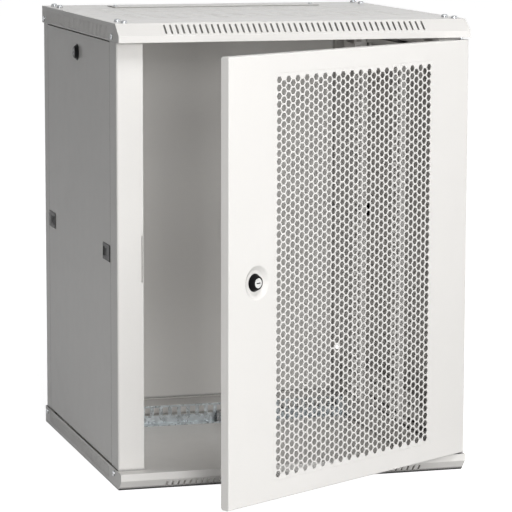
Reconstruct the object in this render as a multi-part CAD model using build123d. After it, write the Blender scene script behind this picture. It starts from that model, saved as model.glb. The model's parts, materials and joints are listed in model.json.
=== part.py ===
from build123d import *
import os
from math import hypot, pi, sqrt

# 19-inch wall rack cabinet, 15 rack units, in millimetres.
# Origin: middle of the footprint on the floor plane. +X right, -Y front, +Z up.
# The door is modelled closed and is stored open by DOOR_STORED_OPEN degrees.

# --- Overall size --------------------------------------------------------------------------
WIDTH = 600.0
DEPTH = 600.0
RACK_UNITS = 15
RACK_UNIT = 44.45
END_ALLOWANCE = 49.6          # height above and below the equipment space
HEIGHT = RACK_UNITS * RACK_UNIT + 2 * END_ALLOWANCE

# --- Sheet thicknesses ---------------------------------------------------------------------
COVER_SHEET = 1.2             # cap and base
POST_SHEET = 1.5
FRAME_SHEET = 1.5             # sills, headers and rail carriers
PANEL_SHEET = 1.0
DOOR_SHEET = 1.2
RAIL_SHEET = 2.0
PLATE_SHEET = 1.5             # cable entry covers and the tie strip

# --- Cap and base --------------------------------------------------------------------------
CAP_HEIGHT = 30.0
CAP_LIP = 11.0                # upright part of the front edge
CAP_SLOPE = 26.0              # how far the slanted fascia runs back
BASE_HEIGHT = 30.0
BASE_LIP = 12.0
BASE_SLOPE = 17.0
LEDGE = 27.0                  # fold above and below the door
FRAME_INSET = 2.0             # posts and panels stand back from the cap's skirt
FASCIA_SLOTS = 45
SLOT_PITCH = 10.0
SLOT_WIDTH = 3.2
CAP_FASCIA_SLOT = 23.0
BASE_FASCIA_SLOT = 14.5
SKIRT_SLOTS = 48
SKIRT_SLOT_HEIGHT = 21.0
SKIRT_SLOT_SHIFT = 25.0       # slot row's middle behind the cabinet's middle
CAP_SLOT_DROP = 2.0           # slots' middle below the skirt's
BASE_SLOT_LIFT = 1.0
LADDER_PITCH = 37.5
LADDERS = 13
LADDER_WIDTH = 23.0
LADDER_RUNGS = 13
LADDER_ROWS = (-78.0, 92.0)   # middle of each row of vent ladders
ENTRY_WIDTH = 350.0
ENTRY_DEPTH = 46.0
TOP_ENTRY_Y = 221.0
BASE_ENTRY_WIDTH = 300.0
BASE_ENTRY_DEPTH = 44.0
BASE_ENTRY_Y = 248.0
ENTRY_LAP = 8.0               # cover plate's overlap in depth
ENTRY_SIDE_LAP = 15.0

# --- Posts ---------------------------------------------------------------------------------
FRONT_POST_FACE = 44.0
FRONT_POST_DEPTH = 47.5
FRONT_POST_RETURN = 32.0
REAR_POST_FACE = 43.0
REAR_POST_DEPTH = 36.5
REAR_POST_RETURN = 12.0
LAND_REACH = 17.5             # strip that the side panel's hem lies on
HEM = 10.0                    # depth of the side panel's folded edges
POST_CORNER = 4.0
REAR_PLATE_REACH = 80.0       # rear post's end plates
WALL_HOLE_R = 4.5
WALL_HOLE_X = 264.0
WALL_HOLE_EDGE = 113.0        # from the floor, and from the top

# --- Side panels, rear panel ---------------------------------------------------------------
PANEL_GAP = 1.0
PANEL_END_GAP = 2.5
REAR_HEM = 12.0
REAR_SCREW_INSET = 60.0       # rear panel's outer screws from its ends

# --- Side frame members and 19-inch rails --------------------------------------------------
SILL_HEIGHT = 45.0
SILL_WEB_X = 250.0
CARRIER_BOTTOM = 52.0
CARRIER_HEIGHT = 54.0
RAIL_OPENING = 450.0
RAIL_FACE = 23.0
RAIL_DEPTH = 30.0
FRONT_RAIL_Y = -125.0
REAR_RAIL_Y = 87.0
RAIL_HOLE = 9.5
RAIL_HOLE_SPAN = 465.1
RAIL_HOLE_STEPS = (6.35, 22.225, 38.1)
MEMBER_FLANGE = 13.0
TAB_INSET = 9.0               # a member's end tab stops short of its flanges
RAIL_SCREW_Y = 12.0           # behind the rail's face
RAIL_SCREW_DZ = 14.0
CARRIER_SLOT = 60.0
CARRIER_SLOT_PITCH = 70.0
CARRIER_SLOTS = 6
MEMBER_CLEAR = 1.0            # between a member's end and the posts' end plates

# --- Tie strip on the floor ----------------------------------------------------------------
STRIP_Y = 213.5
STRIP_HEIGHT = 34.0
STRIP_FOOT = 19.5
STRIP_HALF = 249.0
STRIP_HOLE_PITCH = 17.1
STRIP_HOLES = 28
STRIP_HOLE_WIDTH = 10.5
STRIP_HOLE_HEIGHT = 14.5
STRIP_HOLE_Z = 16.0           # lower edge of the holes above the strip's foot
STRIP_SCREW_X = 220.0
EARTH_X = 3.0
LUG_GAP = 3.0                 # between the earth stud's nuts

# --- Door ----------------------------------------------------------------------------------
DOOR_STORED_OPEN = 31.5       # degrees
DOOR_WIDTH = 586.0
DOOR_DEPTH = 16.5
DOOR_GAP_LOW = 2.0
DOOR_GAP_HIGH = 3.5
DOOR_EDGE_R = 2.0
FLANGE_CHAMFER = 3.0
HINGE_FROM_EDGE = 5.0
HINGE_FROM_FACE = 12.5
HEX_FLATS = 10.2
HEX_ROW_PITCH = 12.65
HEX_COLUMN_PITCH = 10.8
HEX_COLUMNS = 35
HEX_TALL_ROWS = 50
HEX_SHIFT = 4.5               # field's middle from the door's middle, towards the hinge

# --- Door lock -----------------------------------------------------------------------------
LOCK_FROM_EDGE = 64.0
LOCK_BELOW_MIDDLE = 1.5
DISH_R = 27.0
DISH_FLOOR_R = 19.5
DISH_DEPTH = 5.5
DISH_RIM = 4.0
DISH_BEND = 2.5
KNOB_BASE_R = 14.2
KNOB_FACE_R = 10.4
KNOB_HEIGHT = 8.0
KNOB_ROUNDING = 1.6
BARREL_R = 9.0
PLUG_R = 7.8
CAM_LENGTH = 42.0
CAM_WIDTH = 14.0
CAM_HUB_R = 8.0
CAM_SHEET = 2.5
CAM_CLEAR = 0.5               # between the cam and what it swings behind
LOCK_NUT_FLATS = 24.0
LOCK_NUT_T = 3.5
PLUG_PROUD = 0.4
KEY_SLOT = 1.8
KEY_DEPTH = 4.0
DOOR_KEY = 9.0
SIDE_KEY = 7.0
SQUARE = 2.6                  # half of the square that drives the cam
CAM_SCREW_R = 1.5
CAM_SCREW_HEAD_R = 4.2
CAM_SCREW_HEAD_T = 2.4
CAM_SCREW_LENGTH = 7.0
BORE_SPARE = 1.0              # bore beyond the cam screw's end
LOCK_SLOT_HEIGHT = 77.0
LOCK_SLIT = 1.9               # narrow opening in the post's face beside the bend
LOCK_SLOT_DEPTH = 12.0

# --- Side panel locks and latches ----------------------------------------------------------
SIDE_LOCK_DROP = 32.5         # below the panel's top edge
SIDE_FLANGE_R = 14.0
SIDE_FLANGE_T = 1.5
SIDE_KNOB_BASE_R = 12.6
SIDE_KNOB_FACE_R = 9.6
SIDE_KNOB_T = 4.5
SIDE_KNOB_ROUNDING = 1.0
SIDE_BARREL_R = 9.0
SIDE_PLUG_R = 6.0
LATCH_EDGE = 27.0             # latch middle from the panel's edge
LATCH_LENGTH = 49.5
LATCH_HEIGHT = 28.0
LATCH_BEZEL = 1.2
LATCH_TRAVEL = 7.0
LATCH_WALL = 2.0
LATCH_SHORT = 0.2             # tube ends short of the post's land
LATCH_BACK = 12.0             # sliding block's ends from the latch's middle
LATCH_FRONT = 4.0
LATCH_BLOCK_HEIGHT = 15.4
LATCH_BLOCK_PROUD = 0.9
TONGUE_SHEET = 2.5
TONGUE_HALF = 6.0
GRIPS = 4
GRIP_WIDTH = 1.6
GRIP_PITCH = 3.2
GRIP_DEPTH = 0.4
GRIP_INSET = 1.5
LATCH_TIP_OVERLAP = 6.8       # tongue behind the post's land
LATCH_Z_SHIFT = 1.5           # above mid-height

# --- Fasteners and fits --------------------------------------------------------------------
RUN_FIT = 0.05                # radial clearance of turning and sliding round parts
HOLE_FIT = 0.3                # radial clearance of fixed round parts
THREAD_FIT = 0.1              # radial clearance of threaded pairs
COLLAR_FIT = 0.1              # between the lower pin's collar and the door
THROUGH = 5.0                 # how far cutters reach past what they cut
HEAD_ROUNDING = 0.6           # share of a pan head's height
CROSS_LENGTH = 1.1            # share of a pan head's radius
CROSS_WIDTH = 0.2
CORNER_SCREW_X = 283.0
CORNER_SCREW_INSET = 22.5     # outer screw from the rear post's face
CORNER_SCREW_PITCH = 47.0
FRONT_SCREW_Y = -265.5
SCREW_R = 3.0
SCREW_HEAD_R = 5.4
SCREW_HEAD_T = 4.5
SKIRT_SCREW_R = 2.5
SKIRT_SCREW_HEAD_R = 4.7
SKIRT_SCREW_HEAD_T = 2.6
FRONT_SKIRT_SCREW_Y = -251.5
REAR_SKIRT_SCREW_Y = 283.0
SKIRT_SCREW_INSET = 7.8       # from the edge that meets the panel
SMALL_SCREW_R = 2.0
SMALL_SCREW_HEAD_R = 3.8
SMALL_SCREW_HEAD_T = 2.4
SCREW_END = 2.0               # screws beyond the last sheet
SCREW_SHORT = 0.2             # floor screws end above the underside
COVER_SCREW_LENGTH = 7.0
MEMBER_SCREW_LENGTH = 5.0
REAR_SCREW_LENGTH = 4.0
RAIL_SCREW_HEAD_T = 3.5
RAIL_SCREW_END = 5.0
PIN_R = 2.5
BUSH_R = 3.6
PIN_ANCHOR = 8.0              # lower pin below the base's ledge
PIN_REACH = 6.0               # upper pin above the cap's ledge
LOWER_COLLAR_R = 4.5
UPPER_COLLAR_R = 3.5
UPPER_COLLAR_T = 2.0
BUSH_LENGTH = 10.0
EAR_DROP = 42.0               # bracket's ear below the door's top
BRACKET_HEIGHT = 26.0
BRACKET_REACH = 14.0          # bracket's inner edge from the hinge's axis
EAR_REACH = 10.0
EAR_RIM = 1.0                 # ear beyond the pin
HANDLE_R = 2.0
HANDLE_LENGTH = 18.0
SPRING_LENGTH = 24.0
SPRING_WIRE = 0.8
SPRING_R = 3.0
SPRING_PITCH = 2.6
SPRING_END = 0.88             # coil's middle line from each seat
SINK_R = 5.0
SINK_T = 2.0
SINK_CROSS = 6.0
SINK_CROSS_WIDTH = 1.0
SINK_CROSS_DEPTH = 1.2
EARTH_STUD = 21.0
NUT_FLATS = 10.0
NUT_T = 5.0
WASHER_R = 7.0
WASHER_T = 1.2

# --- Planes and lines worked out from the sizes above --------------------------------------
SIDE = WIDTH / 2
FRONT = -DEPTH / 2
BACK = DEPTH / 2
MIDDLE = HEIGHT / 2
POST_SIDE = SIDE - FRAME_INSET
POST_FRONT = FRONT + LEDGE
POST_BACK = BACK - FRAME_INSET
CAP_BOTTOM = HEIGHT - CAP_HEIGHT
FRONT_INNER_X = POST_SIDE - FRONT_POST_FACE
REAR_INNER_X = POST_SIDE - REAR_POST_FACE
FRONT_BREAK = POST_FRONT + FRONT_POST_DEPTH
REAR_BREAK = POST_BACK - REAR_POST_DEPTH
LAND_X = POST_SIDE - HEM
LAND_INNER_X = LAND_X - POST_SHEET
MEMBER_FRONT = FRONT_BREAK + LAND_REACH + MEMBER_CLEAR
MEMBER_BACK = POST_BACK - REAR_PLATE_REACH - MEMBER_CLEAR
CARRIER_WEB_X = RAIL_OPENING / 2 + RAIL_FACE
FLOOR = COVER_SHEET
ROOF = HEIGHT - COVER_SHEET
PANEL_FRONT = FRONT_BREAK + PANEL_GAP
PANEL_BACK = REAR_BREAK - PANEL_GAP
PANEL_BOTTOM = BASE_HEIGHT + PANEL_END_GAP
PANEL_TOP = CAP_BOTTOM - PANEL_END_GAP
DOOR_LEFT = -DOOR_WIDTH / 2
DOOR_RIGHT = DOOR_WIDTH / 2
DOOR_BOTTOM = BASE_HEIGHT + DOOR_GAP_LOW
DOOR_TOP = CAP_BOTTOM - DOOR_GAP_HIGH
HINGE_X = DOOR_RIGHT - HINGE_FROM_EDGE
HINGE_Y = FRONT + HINGE_FROM_FACE
LOCK_X = DOOR_LEFT + LOCK_FROM_EDGE
LOCK_Z = MIDDLE - LOCK_BELOW_MIDDLE
DISH_FLOOR_Y = FRONT + DISH_DEPTH
CAM_Y = POST_FRONT + POST_SHEET + CAM_CLEAR
SIDE_LOCK_Y = (PANEL_FRONT + PANEL_BACK) / 2
SIDE_LOCK_Z = PANEL_TOP - SIDE_LOCK_DROP
LATCH_Z = MIDDLE + LATCH_Z_SHIFT
REAR_SCREW_Y = POST_BACK - CORNER_SCREW_INSET
CORNER_SCREW_YS = (
    FRONT_SCREW_Y,
    FRONT_SCREW_Y + CORNER_SCREW_PITCH,
    REAR_SCREW_Y - CORNER_SCREW_PITCH,
    REAR_SCREW_Y,
)
CORNER_SCREW_SPOTS = [(sx * CORNER_SCREW_X, y) for sx in (-1, 1) for y in CORNER_SCREW_YS]
HINGE_AXIS = Axis((HINGE_X, HINGE_Y, 0), (0, 0, 1))

X_UP = Vector(1, 0, 0)
Y_UP = Vector(0, 1, 0)
Z_UP = Vector(0, 0, 1)


# --- Shape helpers -------------------------------------------------------------------------
def block(x0, x1, y0, y1, z0, z1):
    """Box between two corners."""
    centre = Pos((x0 + x1) / 2, (y0 + y1) / 2, (z0 + z1) / 2)
    return centre * Box(abs(x1 - x0), abs(y1 - y0), abs(z1 - z0))


def rod(start, direction, radius, length):
    """Cylinder from a start point along a direction."""
    place = Plane(origin=start, z_dir=direction).location
    return place * Cylinder(radius, length, align=(Align.CENTER, Align.CENTER, Align.MIN))


def cone(start, direction, radius_start, radius_end, length):
    """Cone from a start point along a direction."""
    place = Plane(origin=start, z_dir=direction).location
    return place * Cone(radius_start, radius_end, length, align=(Align.CENTER, Align.CENTER, Align.MIN))


def hex_prism(start, direction, flats, length):
    """Hexagonal prism, such as a nut's body."""
    face = Plane(origin=start, z_dir=direction) * RegularPolygon(flats / sqrt(3), 6)
    return extrude(face, length, Vector(*direction))


def folded(path, sheet, side):
    """Outline of a folded sheet from its outer skin; side is 1 for metal on the path's left."""
    steps = [(b[0] - a[0], b[1] - a[1]) for a, b in zip(path, path[1:])]
    normals = [(-side * dy / hypot(dx, dy), side * dx / hypot(dx, dy)) for dx, dy in steps]
    inner = []
    for i, (u, v) in enumerate(path):
        before = normals[max(i - 1, 0)]
        after = normals[min(i, len(normals) - 1)]
        scale = sheet / (1 + before[0] * after[0] + before[1] * after[1])
        inner.append((u + scale * (before[0] + after[0]), v + scale * (before[1] + after[1])))
    return list(path) + inner[::-1]


def section_x(points, x0, x1):
    """Prism along X from an outline given as (y, z) points."""
    wire = Wire.make_polygon([(x0, y, z) for y, z in points], close=True)
    return extrude(Face(wire), x1 - x0, X_UP)


def section_y(points, y0, y1):
    """Prism along Y from an outline given as (x, z) points."""
    wire = Wire.make_polygon([(x, y0, z) for x, z in points], close=True)
    return extrude(Face(wire), y1 - y0, Y_UP)


def section_z(points, z0, z1):
    """Prism along Z from an outline given as (x, y) points."""
    wire = Wire.make_polygon([(x, y, z0) for x, y in points], close=True)
    return extrude(Face(wire), z1 - z0, Z_UP)


def slot(centre, normal, along, length, width, depth):
    """Round-ended slot cutter, centred on a sheet."""
    plane = Plane(origin=centre, x_dir=along, z_dir=normal)
    return extrude(plane * SlotOverall(length, width), depth / 2, both=True)


def mirrored(shape):
    """The same piece on the other side of the cabinet."""
    return mirror(shape, about=Plane.YZ)


def fuse(shapes):
    """Join touching shapes into one solid."""
    return shapes[0].fuse(*shapes[1:]).clean()


def pan_screw(seat, direction, radius, head_r, head_t, length):
    """Screw with a domed cross-recess head on seat; direction points out of the head."""
    out = Vector(*direction)
    head = rod(seat, direction, head_r, head_t)
    head = fillet(head.edges().sort_by(Axis(seat, direction))[-1], head_t * HEAD_ROUNDING)
    shank = rod(seat, -out, radius, length)
    top = Plane(origin=Vector(*seat) + out * head_t, z_dir=direction)
    arm, width = head_r * CROSS_LENGTH, head_r * CROSS_WIDTH
    cross = [top * Box(arm, width, head_t), top * Box(width, arm, head_t)]
    return (head + shank) - cross


def on_door(shape):
    """Turn a piece that rides on the door from closed to its stored place."""
    return shape.rotate(HINGE_AXIS, DOOR_STORED_OPEN)


def store(name, shapes):
    """Write one node, a single solid or a group of separate solids."""
    group = shapes if isinstance(shapes, (list, tuple)) else [shapes]
    solids = [solid for shape in group for solid in shape.solids()]
    body = solids[0] if len(solids) == 1 else Compound(children=solids)
    export_step(body, os.path.join("parts", name + ".step"), write_pcurves=False)
    print(name, len(solids), "solid(s)", round(sum(solid.volume for solid in solids)), "mm3")


# --- Cap and base --------------------------------------------------------------------------
def tray(height, lip, slope, floor_z, up):
    """Folded cover with fascia, lip, ledge and skirts; up is 1 for the base, -1 for the cap."""
    rim = floor_z + up * height
    path = [
        (POST_FRONT, rim),
        (FRONT, rim),
        (FRONT, rim - up * lip),
        (FRONT + slope, floor_z),
        (BACK, floor_z),
        (BACK, rim),
    ]
    shell = section_x(folded(path, COVER_SHEET, up), -SIDE + COVER_SHEET, SIDE - COVER_SHEET)
    cheek = section_x(path[1:], SIDE - COVER_SHEET, SIDE)
    return fuse([shell, cheek, mirrored(cheek)])


def fascia_slots(rim, lip, slope, floor_z, length):
    """Row of vents up the slanted fascia between the lip and the floor plate."""
    up = 1 if rim > floor_z else -1
    lip_z = rim - up * lip
    along = Vector(0, slope, floor_z - lip_z).normalized()
    normal = along.cross(X_UP)
    first = -(FASCIA_SLOTS - 1) / 2 * SLOT_PITCH
    y, z = FRONT + slope / 2, (floor_z + lip_z) / 2
    spots = [(first + i * SLOT_PITCH, y, z) for i in range(FASCIA_SLOTS)]
    return [slot(spot, normal, along, length, SLOT_WIDTH, 6 * COVER_SHEET) for spot in spots]


def skirt_slots(middle_z):
    """Upright vents along both side skirts."""
    first = SKIRT_SLOT_SHIFT - (SKIRT_SLOTS - 1) / 2 * SLOT_PITCH
    cutters = []
    for sx in (-1, 1):
        for i in range(SKIRT_SLOTS):
            spot = (sx * (SIDE - COVER_SHEET / 2), first + i * SLOT_PITCH, middle_z)
            cutters.append(slot(spot, X_UP, Z_UP, SKIRT_SLOT_HEIGHT, SLOT_WIDTH, 3 * COVER_SHEET))
    return cutters


def skirt_screw_spots():
    """Side screws of cap and base as (side, y, z)."""
    heights = (CAP_BOTTOM + SKIRT_SCREW_INSET, BASE_HEIGHT - SKIRT_SCREW_INSET)
    depths = (FRONT_SKIRT_SCREW_Y, REAR_SKIRT_SCREW_Y)
    return [(sx, y, z) for sx in (-1, 1) for y in depths for z in heights]


def skirt_screw_holes(radius, x_outer, sheet):
    """Cutters for the side screws through a sheet whose outer skin is at x_outer."""
    return [
        rod((sx * (x_outer - 2 * sheet), y, z), (sx, 0, 0), radius, 4 * sheet)
        for sx, y, z in skirt_screw_spots()
    ]


def ledge_pin_holes(z):
    """Hinge pin holes in a ledge, both sides, because the door can hang on either."""
    return [
        rod((sx * HINGE_X, HINGE_Y, z - 2 * COVER_SHEET), (0, 0, 1), PIN_R + RUN_FIT, 4 * COVER_SHEET)
        for sx in (-1, 1)
    ]


def ladder_slots():
    """Two rows of vent ladders in the roof."""
    first = -(LADDERS - 1) / 2 * LADDER_PITCH
    cutters = []
    for row in LADDER_ROWS:
        for i in range(LADDERS):
            for j in range(LADDER_RUNGS):
                y = row + (j - (LADDER_RUNGS - 1) / 2) * SLOT_PITCH
                spot = (first + i * LADDER_PITCH, y, HEIGHT - COVER_SHEET / 2)
                cutters.append(slot(spot, Z_UP, X_UP, LADDER_WIDTH, SLOT_WIDTH, 3 * COVER_SHEET))
    return cutters


def cover_screw_spots(width, y):
    """Screws at both ends of a cable entry cover."""
    reach = width / 2 + ENTRY_SIDE_LAP / 2
    return [(-reach, y), (reach, y)]


def plate_holes(spots, radius, z):
    """Cutters for upright screws through a level sheet."""
    return [rod((x, y, z - 3 * COVER_SHEET), (0, 0, 1), radius, 6 * COVER_SHEET) for x, y in spots]


def entry_hole(width, depth, y, z):
    """Cutter of a cable entry."""
    return block(-width / 2, width / 2, y - depth / 2, y + depth / 2, z - THROUGH, z + THROUGH)


def top_cap():
    """Cap with vents, cable entry and screw holes."""
    body = tray(CAP_HEIGHT, CAP_LIP, CAP_SLOPE, HEIGHT, -1)
    cutters = fascia_slots(CAP_BOTTOM, CAP_LIP, CAP_SLOPE, HEIGHT, CAP_FASCIA_SLOT)
    cutters += skirt_slots(HEIGHT - CAP_HEIGHT / 2 - CAP_SLOT_DROP)
    cutters += ladder_slots()
    cutters += skirt_screw_holes(SKIRT_SCREW_R + HOLE_FIT, SIDE, COVER_SHEET)
    cutters += ledge_pin_holes(CAP_BOTTOM + COVER_SHEET / 2)
    cutters += plate_holes(CORNER_SCREW_SPOTS, SCREW_R + HOLE_FIT, HEIGHT)
    cutters += plate_holes(cover_screw_spots(ENTRY_WIDTH, TOP_ENTRY_Y), SMALL_SCREW_R + HOLE_FIT, HEIGHT)
    return body - (cutters + [entry_hole(ENTRY_WIDTH, ENTRY_DEPTH, TOP_ENTRY_Y, HEIGHT)])


def base_tray():
    """Base with vents, cable entry, earth stud hole and screw holes."""
    body = tray(BASE_HEIGHT, BASE_LIP, BASE_SLOPE, 0, 1)
    cutters = fascia_slots(BASE_HEIGHT, BASE_LIP, BASE_SLOPE, 0, BASE_FASCIA_SLOT)
    cutters += skirt_slots(BASE_HEIGHT / 2 + BASE_SLOT_LIFT)
    cutters += skirt_screw_holes(SKIRT_SCREW_R + HOLE_FIT, SIDE, COVER_SHEET)
    cutters += ledge_pin_holes(BASE_HEIGHT - COVER_SHEET / 2)
    cutters += plate_holes(CORNER_SCREW_SPOTS, SCREW_R + HOLE_FIT, 0) + base_screw_sinks()
    cutters += plate_holes(cover_screw_spots(BASE_ENTRY_WIDTH, BASE_ENTRY_Y), SMALL_SCREW_R + HOLE_FIT, 0)
    cutters += plate_holes(strip_screw_spots(), SMALL_SCREW_R + HOLE_FIT, 0)
    return body - (cutters + [entry_hole(BASE_ENTRY_WIDTH, BASE_ENTRY_DEPTH, BASE_ENTRY_Y, 0)])


def entry_cover(width, depth, y, z):
    """Plate that closes a cable entry."""
    half_w = width / 2 + ENTRY_SIDE_LAP
    half_d = depth / 2 + ENTRY_LAP
    plate = block(-half_w, half_w, y - half_d, y + half_d, z, z + PLATE_SHEET)
    return plate - plate_holes(cover_screw_spots(width, y), SMALL_SCREW_R + HOLE_FIT, z)


# --- Posts ---------------------------------------------------------------------------------
def end_plates(inner_x, y0, y1):
    """Plates across both ends of a left post."""
    levels = (FLOOR, ROOF - POST_SHEET)
    return [block(-POST_SIDE, -inner_x, y0, y1, z, z + POST_SHEET) for z in levels]


def rounded_post(path, side, corner):
    """Folded post with its outer corner rounded."""
    shell = section_z(folded(path, POST_SHEET, side), FLOOR + POST_SHEET, ROOF - POST_SHEET)

    def near(reach):
        inside = [e for e in shell.edges().filter_by(Axis.Z) if reach(abs(e.center().Y - corner[1]))]
        return [e for e in inside if reach(abs(e.center().X - corner[0]))]

    shell = fillet(near(lambda gap: gap < POST_SHEET / 2), POST_CORNER)
    return fillet(near(lambda gap: POST_SHEET / 2 < gap < POST_SHEET * 1.5), POST_CORNER - POST_SHEET)


def member_levels():
    """Middle heights of the sills, headers and rail carriers."""
    sill = FLOOR + SILL_HEIGHT / 2
    carrier = CARRIER_BOTTOM + CARRIER_HEIGHT / 2
    return (sill, carrier, HEIGHT - carrier, HEIGHT - sill)


def member_screw_spots(x):
    """Where the left members are screwed to the left posts, at one X."""
    depths = (FRONT_BREAK + LAND_REACH / 2, REAR_BREAK - LAND_REACH / 2)
    return [(x, y, z) for y in depths for z in member_levels()]


def member_screw_holes(radius):
    """Cutters for the screws between left members and left posts."""
    spots = member_screw_spots(-LAND_X - POST_SHEET)
    return [rod(spot, (1, 0, 0), radius, 4 * POST_SHEET) for spot in spots]


def post_holes():
    """Screw holes that front and rear posts share."""
    holes = skirt_screw_holes(SKIRT_SCREW_R + HOLE_FIT, POST_SIDE, POST_SHEET)
    for z in (0, HEIGHT):
        holes += plate_holes(CORNER_SCREW_SPOTS, SCREW_R + HOLE_FIT, z)
    holes += base_screw_sinks()
    return holes + member_screw_holes(SMALL_SCREW_R + HOLE_FIT)


def front_post():
    """Left front post with a land for the panel's hem and a slotted return for the lock's cam."""
    path = [
        (-LAND_X, FRONT_BREAK + LAND_REACH),
        (-LAND_X, FRONT_BREAK),
        (-POST_SIDE, FRONT_BREAK),
        (-POST_SIDE, POST_FRONT),
        (-FRONT_INNER_X, POST_FRONT),
        (-FRONT_INNER_X, POST_FRONT + FRONT_POST_RETURN),
    ]
    shell = rounded_post(path, 1, (-POST_SIDE, POST_FRONT))
    plates = end_plates(FRONT_INNER_X, POST_FRONT, FRONT_BREAK + LAND_REACH)
    z0, z1 = LOCK_Z - LOCK_SLOT_HEIGHT / 2, LOCK_Z + LOCK_SLOT_HEIGHT / 2
    bend, inside = -FRONT_INNER_X - POST_SHEET, POST_FRONT + POST_SHEET
    lock_slot = block(bend, -FRONT_INNER_X + POST_SHEET, inside, POST_FRONT + LOCK_SLOT_DEPTH, z0, z1)
    slit = block(bend - LOCK_SLIT, bend, POST_FRONT - POST_SHEET, inside + POST_SHEET, z0, z1)
    return fuse([shell] + plates) - (post_holes() + [lock_slot, slit])


def wall_hole_heights():
    """Heights of the wall fixing holes."""
    return (WALL_HOLE_EDGE, HEIGHT - WALL_HOLE_EDGE)


def rear_screw_heights():
    """Heights of the rear panel's screws."""
    reach = (PANEL_TOP - PANEL_BOTTOM) / 2 - REAR_SCREW_INSET
    return (MIDDLE - reach, MIDDLE, MIDDLE + reach)


def rear_screw_holes(radius):
    """Cutters for the rear panel's screws on the left."""
    y = POST_BACK - REAR_HEM / 2
    x = -REAR_INNER_X - THROUGH
    return [rod((x, y, z), (1, 0, 0), radius, 2 * THROUGH) for z in rear_screw_heights()]


def rear_post():
    """Left rear post with its wall fixing holes."""
    path = [
        (-LAND_X, REAR_BREAK - LAND_REACH),
        (-LAND_X, REAR_BREAK),
        (-POST_SIDE, REAR_BREAK),
        (-POST_SIDE, POST_BACK),
        (-REAR_INNER_X, POST_BACK),
        (-REAR_INNER_X, POST_BACK - REAR_POST_RETURN),
    ]
    shell = rounded_post(path, -1, (-POST_SIDE, POST_BACK))
    plates = end_plates(REAR_INNER_X, POST_BACK - REAR_PLATE_REACH, POST_BACK)
    y = POST_BACK - THROUGH
    holes = [rod((-WALL_HOLE_X, y, z), (0, 1, 0), WALL_HOLE_R, 2 * THROUGH) for z in wall_hole_heights()]
    holes += post_holes() + rear_screw_holes(SMALL_SCREW_R + HOLE_FIT)
    return fuse([shell] + plates) - holes


# --- Side frame members, rails and tie strip -----------------------------------------------
def side_member(web_x, z0, z1):
    """Left channel between the posts, with an end tab on each post's land."""
    outer = web_x + MEMBER_FLANGE
    path = [(-outer, z0), (-web_x, z0), (-web_x, z1), (-outer, z1)]
    channel = section_y(folded(path, FRAME_SHEET, 1), MEMBER_FRONT, MEMBER_BACK)
    low, high = z0 + TAB_INSET, z1 - TAB_INSET
    x0, x1 = -LAND_INNER_X, -LAND_INNER_X + FRAME_SHEET
    ends = [
        block(x0, -web_x, MEMBER_FRONT, MEMBER_FRONT + FRAME_SHEET, low, high),
        block(x0, x1, FRONT_BREAK + POST_SHEET, MEMBER_FRONT + FRAME_SHEET, low, high),
        block(x0, -web_x, MEMBER_BACK - FRAME_SHEET, MEMBER_BACK, low, high),
        block(x0, x1, MEMBER_BACK - FRAME_SHEET, REAR_BREAK - POST_SHEET, low, high),
    ]
    return fuse([channel] + ends) - member_screw_holes(SMALL_SCREW_R + HOLE_FIT)


def rail_screw_spots():
    """Rail screws as (y, z)."""
    middle = CARRIER_BOTTOM + CARRIER_HEIGHT / 2
    levels = [base + dz for base in (middle, HEIGHT - middle) for dz in (-RAIL_SCREW_DZ, RAIL_SCREW_DZ)]
    return [(y + RAIL_SCREW_Y, z) for y in (FRONT_RAIL_Y, REAR_RAIL_Y) for z in levels]


def rail_carrier(z0):
    """Left carrier with the slots that let the rails move in depth."""
    body = side_member(CARRIER_WEB_X, z0, z0 + CARRIER_HEIGHT)
    middle = z0 + CARRIER_HEIGHT / 2
    first = -(CARRIER_SLOTS - 1) / 2 * CARRIER_SLOT_PITCH
    width = 2 * (SCREW_R + HOLE_FIT)
    cutters = []
    for dz in (-RAIL_SCREW_DZ, RAIL_SCREW_DZ):
        for i in range(CARRIER_SLOTS):
            spot = (-CARRIER_WEB_X, first + i * CARRIER_SLOT_PITCH, middle + dz)
            cutters.append(slot(spot, X_UP, Y_UP, CARRIER_SLOT, width, 4 * FRAME_SHEET))
    return body - cutters


def rail_hole_heights():
    """Heights of the square holes, three in each rack unit."""
    units = [END_ALLOWANCE + unit * RACK_UNIT for unit in range(RACK_UNITS)]
    return [unit + step for unit in units for step in RAIL_HOLE_STEPS]


def rail(face_y):
    """Left 19-inch rail with its face at face_y."""
    inner = CARRIER_WEB_X - RAIL_FACE
    path = [(-inner, face_y), (-CARRIER_WEB_X, face_y), (-CARRIER_WEB_X, face_y + RAIL_DEPTH)]
    body = section_z(folded(path, RAIL_SHEET, -1), CARRIER_BOTTOM, HEIGHT - CARRIER_BOTTOM)
    half = RAIL_HOLE / 2
    x = -RAIL_HOLE_SPAN / 2
    cutters = [
        block(x - half, x + half, face_y - RAIL_SHEET, face_y + 2 * RAIL_SHEET, z - half, z + half)
        for z in rail_hole_heights()
    ]
    side = -CARRIER_WEB_X - RAIL_SHEET
    for y, z in rail_screw_spots():
        cutters.append(rod((side, y, z), (1, 0, 0), SCREW_R + HOLE_FIT, 3 * RAIL_SHEET))
    return body - cutters


def strip_screw_spots():
    """Screws of the tie strip's foot."""
    y = STRIP_Y - STRIP_FOOT / 2
    return [(-STRIP_SCREW_X, y), (STRIP_SCREW_X, y)]


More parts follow.
